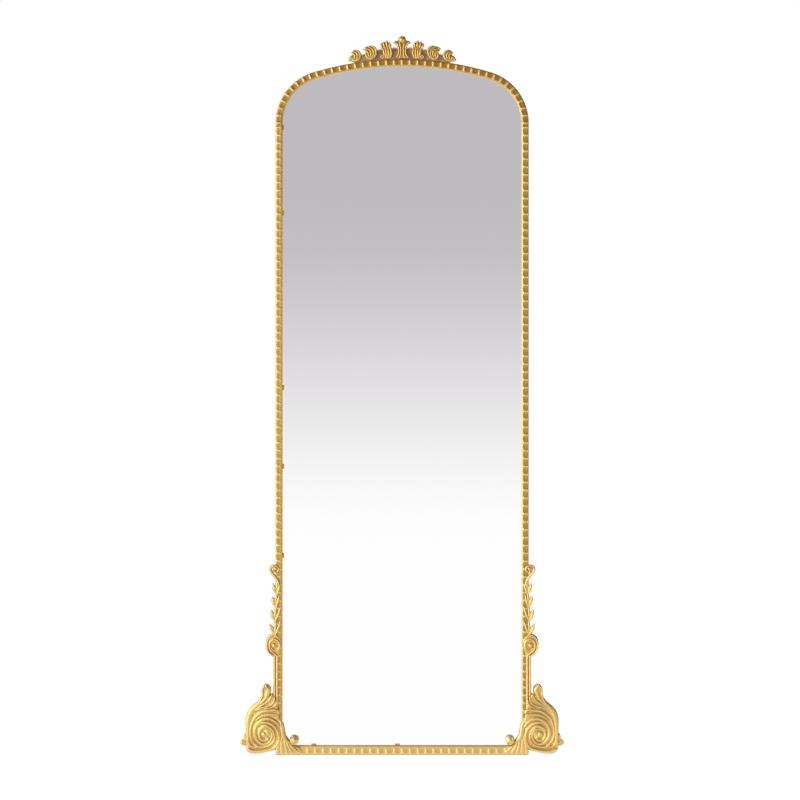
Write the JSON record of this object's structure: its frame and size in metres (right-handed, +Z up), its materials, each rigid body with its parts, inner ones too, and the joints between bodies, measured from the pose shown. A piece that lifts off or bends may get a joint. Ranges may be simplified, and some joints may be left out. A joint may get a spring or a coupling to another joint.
{
  "type": "leaning floor mirror",
  "caption": "Tall arched floor mirror in a narrow gilt frame, with scroll leaves at the foot corners, a small leaf crest and swinging hanging rings on the back.",
  "frame": {"origin": "on the floor, on the centre line, in the middle of the frame's depth", "axes": "+Z up, +X to the right seen from the front, +Y to the back; the glass faces -Y"},
  "size_m": [0.9614, 0.0651, 2.134],
  "materials": {
    "gilt_frame": "antique gold leaf paint over a steel section",
    "gilt_moulding": "gilded cast resin moulding, darker in the scooped cells",
    "gilt_casting": "gilded cast resin with darker creases",
    "dull_web": "dull rose-brown, ungilded",
    "mirror": "silvered float glass",
    "film": "grey shatter film",
    "felt": "black felt strip",
    "board": "brown fibre board",
    "batten": "planed softwood",
    "rubber_pads": "black rubber",
    "zinc_steel": "zinc plated"
  },
  "bodies": {
    "mirror": {"backing_board": "board", "batten_screws": "zinc_steel", "bead_bottom": "gilt_moulding", "bead_left": "gilt_moulding", "bead_right": "gilt_moulding", "bead_top": "gilt_moulding", "board_clips": "zinc_steel", "bottom_rail": "gilt_frame", "bracket_screws": "zinc_steel", "clip_screws": "zinc_steel", "corner_acanthus_left": "gilt_casting", "corner_acanthus_right": "gilt_casting", "corner_bracket_left": "zinc_steel", "corner_bracket_right": "zinc_steel", "corner_scroll_left": "gilt_casting", "corner_scroll_right": "gilt_casting", "crest_leaf_inner_left": "gilt_casting", "crest_leaf_inner_right": "gilt_casting", "crest_leaf_middle_left": "gilt_casting", "crest_leaf_middle_right": "gilt_casting", "crest_leaf_outer_left": "gilt_casting", "crest_leaf_outer_right": "gilt_casting", "crest_links": "gilt_casting", "crest_palmette": "gilt_casting", "crest_screws": "zinc_steel", "crest_web": "dull_web", "foot_strip": "rubber_pads", "glass_cushion": "felt", "glass_tabs": "gilt_moulding", "hanger_plate_left": "zinc_steel", "hanger_plate_right": "zinc_steel", "hanger_screws": "zinc_steel", "husk_chain_left": "gilt_casting", "husk_chain_right": "gilt_casting", "left_stile": "gilt_frame", "lower_batten": "batten", "middle_batten": "batten", "mirror_glass": "mirror", "plate_screws": "zinc_steel", "right_stile": "gilt_frame", "safety_film": "film", "scroll_bracket_left": "zinc_steel", "scroll_bracket_right": "zinc_steel", "setting_blocks": "rubber_pads", "side_leaf_left": "gilt_casting", "side_leaf_right": "gilt_casting", "splice_plate_left": "zinc_steel", "splice_plate_right": "zinc_steel", "stem_left": "gilt_casting", "stem_right": "gilt_casting", "top_arch": "gilt_frame", "top_hook_left": "gilt_casting", "top_hook_right": "gilt_casting", "upper_batten": "batten", "volute_left": "gilt_casting", "volute_right": "gilt_casting", "wall_bumpers": "rubber_pads"},
    "left_ring": {"hanger_ring_left": "zinc_steel"},
    "right_ring": {"hanger_ring_right": "zinc_steel"}
  },
  "joints": [
    {"name": "left_ring_swing", "type": "hinge", "parent": "mirror", "child": "left_ring", "pos_m": [-0.25, 0.02228, 1.66752], "axis": [1, 0, 0], "range_deg": [0, 180]},
    {"name": "right_ring_swing", "type": "hinge", "parent": "mirror", "child": "right_ring", "pos_m": [0.25, 0.02228, 1.66752], "axis": [1, 0, 0], "range_deg": [0, 180]}
  ]
}
